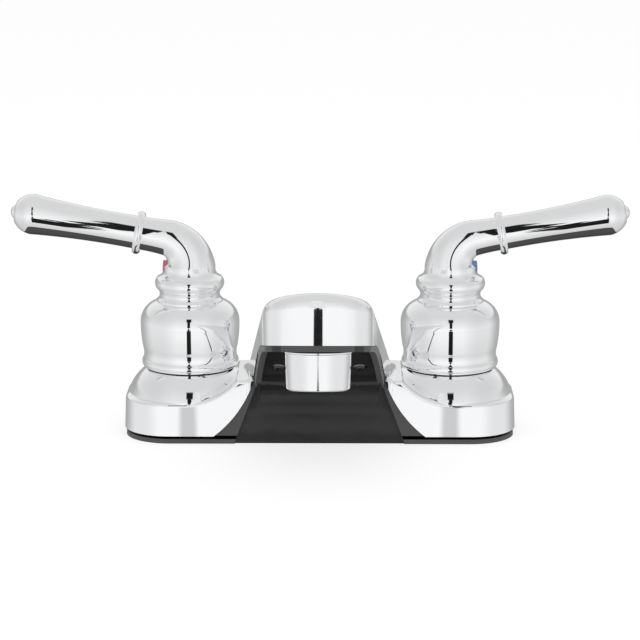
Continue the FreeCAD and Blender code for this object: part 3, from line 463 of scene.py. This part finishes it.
# %% Worn edges
worn, given, result = new_group(
    "rubbed edges",
    [("Vector", VECTOR, None), ("Colour", COLOUR, (0.5, 0.5, 0.5, 1.0)),
     ("Edge Colour", COLOUR, (0.7, 0.7, 0.7, 1.0)), ("Width", FLOAT, 0.0006)],
    [("Colour", COLOUR)])
rounded = add(worn, "ShaderNodeBevel", {"samples": 4}, Radius=given.outputs["Width"])
plain = add(worn, "ShaderNodeNewGeometry")
agree = add(worn, "ShaderNodeVectorMath", {"operation": "DOT_PRODUCT"}, i0=rounded.outputs["Normal"],
            i1=plain.outputs["Normal"])
edge = add(worn, "ShaderNodeMapRange", Value=agree.outputs["Value"], From_Min=0.99, From_Max=0.75,
           To_Min=0.0, To_Max=1.0)
patches = add(worn, "ShaderNodeTexNoise", Vector=given.outputs["Vector"], Scale=220.0, Detail=3.0)
mask = math_node(worn, "MULTIPLY", edge.outputs["Result"], patches.outputs["Fac"], clamp=True)
mixed = add(worn, "ShaderNodeMix", {"data_type": "RGBA"}, i0=mask, i6=given.outputs["Colour"],
            i7=given.outputs["Edge Colour"])
worn.links.new(mixed.outputs[2], result.inputs["Colour"])
print("shared effects:", [g.name for g in bpy.data.node_groups if g.type == "SHADER"])

# %% [markdown]
# ## Finishes
# Each slot of the record has one material. The shader stays in the material, and the
# groups feed only what changes over the surface.

# %% Material builders
def new_material(name):
    material = bpy.data.materials.new(name)
    material.use_nodes = True
    tree = material.node_tree
    shader = tree.nodes["Principled BSDF"]
    place = tree.nodes.new("ShaderNodeTexCoord").outputs["Object"]
    return material, tree, shader, place


def place_group(tree, group, **values):
    return add(tree, "ShaderNodeGroup", {"node_tree": group}, **values)


def bump(tree, shader, height, depth):
    relief = add(tree, "ShaderNodeBump", Height=height, Strength=1.0, Distance=depth)
    tree.links.new(relief.outputs["Normal"], shader.inputs["Normal"])


def chrome(name, colour, low, high):
    """Plated metal: wiping marks set its roughness between low and high."""
    material, tree, shader, place = new_material(name)
    marks = place_group(tree, wiping, Vector=place, Scale=14.0, Low=low, High=high)
    lines = place_group(tree, scratches, Vector=place, Scale=50.0, Amount=1.0)
    shader.inputs["Base Color"].default_value = colour
    shader.inputs["Metallic"].default_value = 1.0
    tree.links.new(marks.outputs["Roughness"], shader.inputs["Roughness"])
    bump(tree, shader, lines.outputs["Height"], 2e-7)
    return material


def plastic(name, colour, edge, low, high, grain, depth, coat=0.0):
    """A moulded or ground piece with a fine grain and paler rubbed edges."""
    material, tree, shader, place = new_material(name)
    shader.inputs["Coat Weight"].default_value = coat
    surface_skin = place_group(tree, skin, Vector=place, Colour=colour, Grain=grain, Low=low, High=high)
    edges = place_group(tree, worn, Vector=place, Colour=surface_skin.outputs["Colour"],
                        Edge_Colour=edge, Width=0.0005)
    tree.links.new(edges.outputs["Colour"], shader.inputs["Base Color"])
    tree.links.new(surface_skin.outputs["Roughness"], shader.inputs["Roughness"])
    bump(tree, shader, surface_skin.outputs["Height"], depth)
    return material


def turned_metal(name, colour, low, high):
    """Bare metal with the tool's rings along Z and brighter rubbed edges."""
    material, tree, shader, place = new_material(name)
    tool = place_group(tree, rings, Vector=place, Low=low, High=high)
    edges = place_group(tree, worn, Vector=place, Colour=colour, Edge_Colour=(0.9, 0.9, 0.88, 1.0),
                        Width=0.0004)
    shader.inputs["Metallic"].default_value = 1.0
    tree.links.new(edges.outputs["Colour"], shader.inputs["Base Color"])
    tree.links.new(tool.outputs["Roughness"], shader.inputs["Roughness"])
    bump(tree, shader, tool.outputs["Height"], 2e-6)
    return material


# %% [markdown]
# ## The underbody
# The black moulding under the shell is one piece with two looks of its own, a polished
# recessed panel and a grey matt rim round it, and it carries a painted shadow: a black
# band on the rim where the shell's edge meets it. The panel could be cut out as a mesh of
# its own, but its edges are straight lines, so masks on the object's own coordinates find them more simply.

# %% Underbody plastic, with its limits in metres
panel_tone = (0.017, 0.017, 0.018, 1.0)
rim_tone = (0.066, 0.066, 0.068, 1.0)
# Near-black colour of the painted shadow line under the shell's edge.
gap_shadow_tone = (0.002, 0.002, 0.002, 1.0)
rim_roughness = 0.25
panel_foot_half = 0.0329
panel_foot_slant = 0.372
panel_run_half = 0.0251
panel_run_splay = 0.0963
panel_wall_y = -0.0256
panel_tip_y = -0.0919
# Heights in metres between which the painted shadow line is drawn on the rim.
gap_shadow_foot = 0.0018
gap_shadow_top = 0.0032


def between_heights(tree, value, low, high):
    """1 between two heights in metres, 0 elsewhere."""
    return math_node(tree, "MULTIPLY", math_node(tree, "GREATER_THAN", value, low),
                     math_node(tree, "LESS_THAN", value, high))


def underbody_plastic(name):
    """Polished black panel inside a finely grained rim, with a painted shadow line under the shell's edge.

    The rim is what lies outside the panel: beside its slanted foot, |x| > a - b z, or
    beside its splayed run under the spout, |x| > c + d y.
    """
    material, tree, shader, place = new_material(name)
    parts = add(tree, "ShaderNodeSeparateXYZ", Vector=place)
    x, y, z = (parts.outputs[axis] for axis in "XYZ")
    half = math_node(tree, "ABSOLUTE", x)
    foot_half = math_node(tree, "ADD", math_node(tree, "MULTIPLY", z, -panel_foot_slant), panel_foot_half)
    run_half = math_node(tree, "ADD", math_node(tree, "MULTIPLY", y, panel_run_splay), panel_run_half)
    on_wall = math_node(tree, "GREATER_THAN", y, panel_wall_y)
    limit = add(tree, "ShaderNodeMix", {"data_type": "FLOAT"}, i0=on_wall, i2=run_half, i3=foot_half)
    beside = math_node(tree, "GREATER_THAN", half, limit.outputs[0])
    at_tip = math_node(tree, "LESS_THAN", y, panel_tip_y)
    rim = math_node(tree, "MAXIMUM", beside, at_tip)
    # Painted shadow: between these heights the rim is made black, where shade falls under the shell's edge.
    painted_gap_shadow = math_node(tree, "MULTIPLY", between_heights(tree, z, gap_shadow_foot, gap_shadow_top), rim)
    skin_near = place_group(tree, skin, Vector=place, Colour=(1.0, 1.0, 1.0, 1.0), Grain=1600.0,
                            Low=0.13, High=0.2)
    tone = add(tree, "ShaderNodeMix", {"data_type": "RGBA"}, i0=rim, i6=panel_tone, i7=rim_tone)
    tone = add(tree, "ShaderNodeMix", {"data_type": "RGBA"}, i0=painted_gap_shadow, i6=tone.outputs[2], i7=gap_shadow_tone)
    colour = add(tree, "ShaderNodeVectorMath", {"operation": "MULTIPLY"}, i0=tone.outputs[2],
                 i1=skin_near.outputs["Colour"])
    coarse = math_node(tree, "MULTIPLY", rim, rim_roughness)
    rough = math_node(tree, "ADD", skin_near.outputs["Roughness"], coarse)
    tree.links.new(colour.outputs["Vector"], shader.inputs["Base Color"])
    tree.links.new(rough, shader.inputs["Roughness"])
    # The painted shadow is metallic with a near-black colour, so it mirrors almost nothing and reads as
    # shade.
    tree.links.new(painted_gap_shadow, shader.inputs["Metallic"])
    bump(tree, shader, skin_near.outputs["Height"], 2e-6)
    return material


# %% One material for each slot
bright = (0.93, 0.935, 0.945, 1.0)
finishes = {
    "chrome_shell": chrome("chrome shell", bright, 0.015, 0.05),
    "chrome_handle": chrome("chrome handle", bright, 0.015, 0.05),
    "chrome_aerator": chrome("chrome aerator", bright, 0.05, 0.10),
    "black_moulding": underbody_plastic("black moulding"),
    "black_steel": turned_metal("black steel", (0.09, 0.09, 0.095, 1.0), 0.3, 0.42),
    "white_moulding": plastic("white moulding", (0.80, 0.80, 0.76, 1.0), (0.9, 0.9, 0.87, 1.0),
                              0.35, 0.5, 1200.0, 8e-6),
    "nut_moulding": plastic("nut moulding", (0.68, 0.68, 0.63, 1.0), (0.8, 0.8, 0.76, 1.0),
                            0.4, 0.55, 1000.0, 1e-5),
    "ceramic": plastic("ground ceramic", (0.86, 0.84, 0.80, 1.0), (0.93, 0.92, 0.90, 1.0),
                       0.12, 0.2, 2400.0, 2e-6),
    "rubber": plastic("soft rubber", (0.02, 0.02, 0.02, 1.0), (0.05, 0.05, 0.05, 1.0),
                      0.6, 0.75, 1400.0, 1e-5),
    "brass": turned_metal("turned brass", (0.78, 0.58, 0.30, 1.0), 0.22, 0.34),
    "steel": turned_metal("plated steel", (0.60, 0.61, 0.62, 1.0), 0.24, 0.36),
    "stem_steel": turned_metal("stem steel", (0.66, 0.66, 0.66, 1.0), 0.18, 0.28),
    "red_index": plastic("red index", (0.58, 0.14, 0.16, 1.0), (0.6, 0.2, 0.2, 1.0),
                         0.06, 0.12, 1500.0, 2e-6, coat=1.0),
    "blue_index": plastic("blue index", (0.12, 0.24, 0.55, 1.0), (0.2, 0.3, 0.6, 1.0),
                          0.06, 0.12, 1500.0, 2e-6, coat=1.0),
}

# %% Dress every piece
slots = {row["node"]: row["material_slot"] for row in frame["record"]["subparts"]}


def dress(piece, slot):
    piece.data.materials.clear()
    piece.data.materials.append(finishes[slot])


for name, node in nodes.items():
    dress(node, slots[name])
dress(hot_handle, "chrome_handle")
dress(cold_handle, "chrome_handle")
dress(sleeve, "chrome_aerator")
print("finishes used:", sorted(set(slots.values())))

# %% [markdown]
# ## The tent
# Chrome has no look of its own: it shows what stands round it. The faucet stands on a
# white floor in a bright tent. A narrow dark gap in the front of the tent draws the
# crisp black lines down the bells, the spout and the levers. The rear and the sides
# are greyer, which rounds every form towards its edges, and the tent is dark right
# below, for the undersides of the levers. The camera itself sees plain white.

# %% Directions in the tent
world = bpy.data.worlds.new("bright tent")
bpy.context.scene.world = world
world.use_nodes = True
tent = world.node_tree
tent.nodes.clear()
direction = add(tent, "ShaderNodeTexCoord").outputs["Generated"]
axes = add(tent, "ShaderNodeSeparateXYZ", Vector=direction)
side_way, rearward, height = axes.outputs["X"], axes.outputs["Y"], axes.outputs["Z"]


def ramp(value, low, high, start, end, smooth=True):
    """start below low, end above high, and a slope between them."""
    kind = "SMOOTHSTEP" if smooth else "LINEAR"
    slope = add(tent, "ShaderNodeMapRange", {"interpolation_type": kind}, Value=value,
                From_Min=low, From_Max=high, To_Min=start, To_Max=end)
    return slope.outputs["Result"]


def between(value, low, high, blur):
    """1 inside the limits, 0 outside, with a soft edge."""
    rising = ramp(value, low - blur, low + blur, 0.0, 1.0)
    falling = ramp(value, high - blur, high + blur, 1.0, 0.0)
    return math_node(tent, "MULTIPLY", rising, falling)


def combined(operation, *values):
    """One value out of several, taken together two by two."""
    whole = values[0]
    for value in values[1:]:
        whole = math_node(tent, operation, whole, value)
    return whole


# %% [markdown]
# The gap is made of upright pieces, each a window of directions: left, right and the
# softness of those sides, then foot, top and the softness of those ends. An upright
# wall mirrors the lowest piece, because the camera looks down, and a wall that leans
# back mirrors a higher one. The piece at level height is only a hairline, because the
# flat front of the base would mirror a broad one as a black field.

# %% Dark gap
gap_pieces = {
    "lever stripe": (-0.088, 0.088, 0.008, 0.55, 0.77, 0.03),
    "bend line": (-0.055, 0.055, 0.006, 0.07, 0.57, 0.005),
    "level hairline": (-0.014, 0.014, 0.005, -0.08, 0.08, 0.005),
    "leaning line": (-0.055, 0.055, 0.006, -0.165, -0.07, 0.005),
    "slit": (-0.032, 0.016, 0.004, -0.22, -0.15, 0.01),
    "upright strip": (-0.082, 0.082, 0.008, -0.60, -0.203, 0.005),
}
gap_depth = 0.985
windows = []
for left, right, side_blur, foot, top, end_blur in gap_pieces.values():
    across, upright = between(side_way, left, right, side_blur), between(height, foot, top, end_blur)
    windows.append(combined("MULTIPLY", across, upright))
in_front = between(rearward, -2.0, -0.1, 0.02)
gap = combined("MULTIPLY", combined("MAXIMUM", *windows), in_front, gap_depth)
print("pieces of the gap:", list(gap_pieces))

# %% Tent walls
roof = ramp(height, -0.1, 0.85, 1.0, 0.72, smooth=False)
ground = ramp(height, -0.9, -0.2, 0.66, 1.0, smooth=False)
rear = ramp(rearward, 0.1, 0.95, 1.0, 0.42)
high_rear = ramp(height, 0.0, 0.3, 0.0, 1.0)
rear_light = combined("MAXIMUM", rear, high_rear)
sides = ramp(math_node(tent, "ABSOLUTE", side_way), 0.4, 0.95, 1.0, 0.82)
dark_edge = 0.9
dark_rise = combined("MULTIPLY", ramp(rearward, -0.4, 0.2, 0.0, 0.36, smooth=False),
                     between(side_way, -0.4, 0.4, 0.1))
over_dark = math_node(tent, "SUBTRACT", math_node(tent, "ADD", height, dark_edge), dark_rise)
under = ramp(over_dark, -0.01, 0.01, 0.11, 1.0)
open_tent = math_node(tent, "SUBTRACT", 1.0, gap, clamp=True)
brightness = combined("MULTIPLY", roof, rear_light, ground, under, sides, open_tent)
light_path = add(tent, "ShaderNodeLightPath")
seen = add(tent, "ShaderNodeMix", {"data_type": "FLOAT"}, i0=light_path.outputs["Is Camera Ray"],
           i2=brightness, i3=1.0)
glow = add(tent, "ShaderNodeBackground", Color=(1.0, 1.0, 1.0, 1.0), Strength=seen.outputs[0])
out = add(tent, "ShaderNodeOutputWorld")
tent.links.new(glow.outputs[0], out.inputs[0])
print("nodes in the tent:", len(tent.nodes))

# %% [markdown]
# ## The floor
# The floor is plain and white. It takes the soft shadow under the base, and it glows a
# little, so that it runs into the background without a horizon. Reflections don't see
# it, because the tent already holds what the chrome should mirror from below.

# %% Floor
floor_half = 3000.0
floor_grey = (0.30, 0.30, 0.30, 1.0)
floor_glow = 0.76
corners = np.array([[[-floor_half, -floor_half, 0.0], [floor_half, -floor_half, 0.0]],
                    [[-floor_half, floor_half, 0.0], [floor_half, floor_half, 0.0]]])
floor = surface("studio_floor", corners, around=False)
floor_finish, _, floor_shader, _ = new_material("white floor")
floor_shader.inputs["Base Color"].default_value = floor_grey
floor_shader.inputs["Roughness"].default_value = 0.9
floor_shader.inputs["Specular IOR Level"].default_value = 0.0
floor_shader.inputs["Emission Color"].default_value = (1.0, 1.0, 1.0, 1.0)
floor_shader.inputs["Emission Strength"].default_value = floor_glow
floor.data.materials.append(floor_finish)
floor.visible_glossy = False

# %% [markdown]
# ## Cards for the reflections
# Cards stand where only reflections see them. The upright wall of the base looks at the
# floor just in front of it, where two tinted cards draw one soft grey stripe for each
# end of the base. A pale card hangs before the spout and keeps the dark gap of the
# tent off its crown.

# %% Cards
def soft_edge(tree, value, half, blur):
    """1 while |value| stays inside half, falling to 0 over the last stretch blur, in millimetres."""
    off = math_node(tree, "ABSOLUTE", value)
    fade = add(tree, "ShaderNodeMapRange", {"interpolation_type": "SMOOTHSTEP"}, Value=off,
               From_Min=(half - blur) * MM, From_Max=half * MM, To_Min=1.0, To_Max=0.0)
    return fade.outputs["Result"]


def card(name, half_width, half_length, blur, glow=None, tint=0.0):
    """A card with a soft rim. It glows, or it only dims what reflections see through it."""
    corners = np.array([[[-half_width, -half_length, 0.0], [half_width, -half_length, 0.0]],
                        [[-half_width, half_length, 0.0], [half_width, half_length, 0.0]]])
    piece = surface(name, corners, around=False)
    material = bpy.data.materials.new(name + " finish")
    material.use_nodes = True
    tree = material.node_tree
    tree.nodes.clear()
    parts = add(tree, "ShaderNodeSeparateXYZ", Vector=add(tree, "ShaderNodeTexCoord").outputs["Object"])
    mask = math_node(tree, "MULTIPLY", soft_edge(tree, parts.outputs["X"], half_width, blur),
                     soft_edge(tree, parts.outputs["Y"], half_length, blur))
    clear = add(tree, "ShaderNodeBsdfTransparent")
    if glow is None:
        kept = math_node(tree, "SUBTRACT", 1.0, math_node(tree, "MULTIPLY", mask, tint))
        grey = add(tree, "ShaderNodeCombineColor", Red=kept, Green=kept, Blue=kept)
        tree.links.new(grey.outputs[0], clear.inputs["Color"])
        shown = clear.outputs[0]
    else:
        light = add(tree, "ShaderNodeEmission", Color=(1.0, 1.0, 1.0, 1.0), Strength=glow)
        shown = add(tree, "ShaderNodeMixShader", i0=mask, i1=clear.outputs[0], i2=light.outputs[0]).outputs[0]
    add(tree, "ShaderNodeOutputMaterial", Surface=shown)
    piece.data.materials.append(material)
    piece.visible_camera = False
    piece.visible_diffuse = False
    piece.visible_shadow = False
    return piece


# %% Set out the cards, in millimetres
stripe_size = {"half_width": 5.0, "half_length": 70.0, "blur": 3.2, "tint": 0.36}
stripe_y = -100.0
stripe_z = 0.5
for name, stripe_x, slant_deg in (("hot_stripe_card", -55.3, -3.6), ("cold_stripe_card", 53.6, 2.5)):
    stripe_card = card(name, **stripe_size)
    stripe_card.location = (stripe_x * MM, stripe_y * MM, stripe_z * MM)
    stripe_card.rotation_euler = (0.0, 0.0, math.radians(slant_deg))
crown_card = card("crown_card", half_width=16.0, half_length=65.0, blur=3.0, glow=0.84)
crown_card.location = (-2.0 * MM, -162.0 * MM, 127.0 * MM)
crown_card.rotation_euler = (math.pi / 2, 0.0, 0.0)

# %% [markdown]
# ## Lights and camera
# One broad soft light from above and in front adds a little shape to the plastics. The
# camera looks slightly down, from one metre away, with a long lens.

# %% Lights
def soft_light(name, place, aim, size, power):
    """A rectangular lamp at place, turned towards aim, that reflections don't see."""
    lamp = bpy.data.lights.new(name, "AREA")
    lamp.shape = "RECTANGLE"
    lamp.size, lamp.size_y = size
    lamp.energy = power
    lamp_object = bpy.data.objects.new(name, lamp)
    bpy.context.scene.collection.objects.link(lamp_object)
    way = np.array(aim, float) - np.array(place, float)
    lamp_object.location = place
    lamp_object.rotation_euler = Vector(way).to_track_quat("-Z", "Y").to_euler()
    lamp_object.visible_glossy = False
    return lamp_object


soft_light("overhead_panel", place=(0.0, -0.35, 1.1), aim=(0.0, 0.0, 0.0), size=(1.2, 1.2), power=3.0)

# %% Camera
camera_distance = 1.0
camera_rise = math.radians(12.5)
camera_swing = math.radians(0.5)
aim_height = 0.0435
aim = Vector((0.0, 0.0, aim_height))
back = Vector((math.sin(camera_swing) * math.cos(camera_rise),
                  -math.cos(camera_swing) * math.cos(camera_rise), math.sin(camera_rise)))
lens = bpy.data.cameras.new("long_lens")
lens.lens = 143.9
lens.sensor_width = 36.0
lens.clip_start = 0.01
camera = bpy.data.objects.new("camera", lens)
bpy.context.scene.collection.objects.link(camera)
camera.location = aim + back * camera_distance
camera.rotation_euler = (-back).to_track_quat("-Z", "Y").to_euler()
bpy.context.scene.camera = camera
bpy.context.scene.view_settings.view_transform = "Standard"
